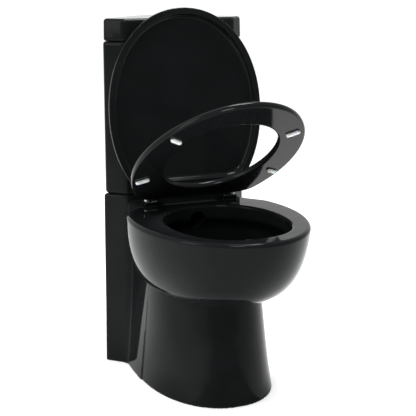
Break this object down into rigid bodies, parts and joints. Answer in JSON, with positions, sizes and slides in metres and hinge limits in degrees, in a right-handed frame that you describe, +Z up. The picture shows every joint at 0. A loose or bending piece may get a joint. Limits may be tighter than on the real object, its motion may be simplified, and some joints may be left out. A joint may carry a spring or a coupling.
{
  "type": "close coupled toilet",
  "caption": "Corner close coupled toilet with a triangular cistern, oval bowl on a pedestal, lifting seat ring and cover, and a dual flush button.",
  "frame": {"origin": "on the floor, under the middle of the whole object's box", "axes": "+Z up from the floor, -Y towards the bowl's front, +Y into the corner of the room, +X to the right of someone facing the toilet"},
  "size_m": [0.3858, 0.6762, 0.855],
  "materials": {
    "black_glaze": "gloss",
    "black_plastic": "gloss",
    "buffer_plastic": "satin",
    "chrome": "polished",
    "zinc_steel": "satin",
    "rubber": "matte",
    "white_plastic": "satin",
    "grey_plastic": "satin"
  },
  "bodies": {
    "pan_and_cistern": {"pan": "black_glaze", "cistern_tank": "black_glaze", "flush_valve_base": "white_plastic", "flush_valve_cage": "white_plastic", "flush_valve_backnut": "white_plastic", "doughnut_gasket": "rubber", "fill_valve_riser": "white_plastic", "fill_valve_head": "white_plastic", "fill_valve_seal": "rubber", "fill_valve_backnut": "white_plastic", "cistern_bolt_left": "zinc_steel", "cistern_bolt_seal_left": "rubber", "cistern_bolt_washer_left": "zinc_steel", "cistern_wing_nut_left": "zinc_steel", "seat_hinge_post_left": "black_plastic", "seat_hinge_pin_left": "zinc_steel", "seat_fixing_bolt_left": "zinc_steel", "floor_screw_left": "zinc_steel", "floor_screw_sleeve_left": "white_plastic", "cistern_bolt_right": "zinc_steel", "cistern_bolt_seal_right": "rubber", "cistern_bolt_washer_right": "zinc_steel", "cistern_wing_nut_right": "zinc_steel", "seat_hinge_post_right": "black_plastic", "seat_hinge_pin_right": "zinc_steel", "seat_fixing_bolt_right": "zinc_steel", "floor_screw_right": "zinc_steel", "floor_screw_sleeve_right": "white_plastic"},
    "lid": {"cistern_lid": "black_glaze", "button_collar": "chrome", "button_collar_nut": "white_plastic"},
    "full_button": {"full_flush_button": "chrome"},
    "half_button": {"half_flush_button": "chrome"},
    "valve_core": {"flush_valve_core": "grey_plastic", "flush_seal_washer": "rubber"},
    "float": {"fill_valve_float": "grey_plastic"},
    "float_lever": {"fill_valve_lever": "grey_plastic"},
    "seat": {"seat_ring": "black_plastic", "seat_buffer_front_left": "buffer_plastic", "seat_buffer_front_right": "buffer_plastic", "seat_buffer_rear_left": "buffer_plastic", "seat_buffer_rear_right": "buffer_plastic"},
    "cover": {"seat_cover": "black_plastic"}
  },
  "joints": [
    {"name": "seat_hinge", "type": "hinge", "parent": "pan_and_cistern", "child": "seat", "pos_m": [0, 0.08423, 0.4295], "axis": [-1, 0, 0], "range_deg": [-36.6, 58.8]},
    {"name": "cover_hinge", "type": "hinge", "parent": "pan_and_cistern", "child": "cover", "pos_m": [0, 0.08423, 0.4295], "axis": [-1, 0, 0], "range_deg": [-58.8, 0]},
    {"name": "lid_lift", "type": "slide", "parent": "pan_and_cistern", "child": "lid", "axis": [0, 0, 1], "range_m": [0, 0.12]},
    {"name": "full_button_press", "type": "slide", "parent": "lid", "child": "full_button", "axis": [0, 0, -1], "range_m": [0, 0.006], "stiffness_N_per_m": 400, "springref_m": -0.004},
    {"name": "half_button_press", "type": "slide", "parent": "lid", "child": "half_button", "axis": [0, 0, -1], "range_m": [0, 0.006], "stiffness_N_per_m": 400, "springref_m": -0.004},
    {"name": "valve_core_lift", "type": "slide", "parent": "pan_and_cistern", "child": "valve_core", "axis": [0, 0, 1], "range_m": [0, 0.018]},
    {"name": "float_rise", "type": "slide", "parent": "pan_and_cistern", "child": "float", "axis": [0, 0, 1], "range_m": [0, 0.024]},
    {"name": "float_lever_turn", "type": "hinge", "parent": "pan_and_cistern", "child": "float_lever", "pos_m": [-0.092, 0.21573, 0.694], "axis": [-1, 0, 0], "range_deg": [0, 53.5]}
  ],
  "couplings": [
    {"joint": "valve_core_lift", "follows": "full_button_press", "ratio": 3},
    {"joint": "float_lever_turn", "follows": "float_rise", "rad_per_m": 38.6}
  ]
}
